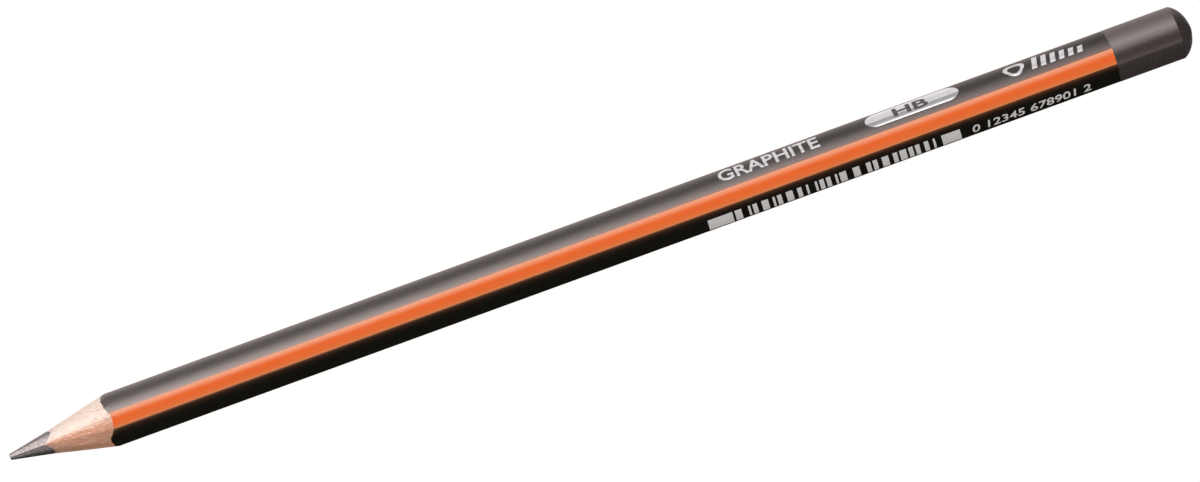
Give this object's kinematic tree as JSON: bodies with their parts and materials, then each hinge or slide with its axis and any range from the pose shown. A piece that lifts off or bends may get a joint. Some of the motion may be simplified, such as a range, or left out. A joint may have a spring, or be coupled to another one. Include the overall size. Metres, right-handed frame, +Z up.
{
  "type": "graphite pencil",
  "caption": "Sharpened wood-cased graphite pencil with a rounded triangular barrel, black lacquer, orange corner stripes, a foil grade badge and a grey dipped, rounded end.",
  "frame": {"origin": "bottom centre of the bounding box, on the surface that the pencil lies on, below the middle of its length", "axes": "+X runs along the pencil from the sharpened tip to the dipped end, +Z points up through the striped corner opposite the face that it lies on, and +Y is the side with the foil badge"},
  "size_m": [0.175, 0.0076, 0.007],
  "materials": {
    "cedar": "bare, cut by the sharpener, fine lengthwise grain",
    "graphite": "fired graphite and clay, semi-metallic sheen with fine lengthwise marks",
    "glue": "thin dried wood glue",
    "black_lacquer": "glossy black lacquer",
    "orange_lacquer": "glossy orange lacquer",
    "grey_lacquer": "satin dark grey dipped lacquer",
    "silver_foil": "bright hot-stamped silver foil"
  },
  "bodies": {
    "root": {"slat_upper": "cedar", "slat_lower": "cedar", "graphite_core": "graphite", "glue_line_left": "glue", "glue_line_right": "glue", "black_panel_left": "black_lacquer", "black_panel_base": "black_lacquer", "black_panel_right": "black_lacquer", "stripe_top": "orange_lacquer", "stripe_left": "orange_lacquer", "stripe_right": "orange_lacquer", "end_dip": "grey_lacquer", "foil_badge": "silver_foil"}
  },
  "joints": []
}
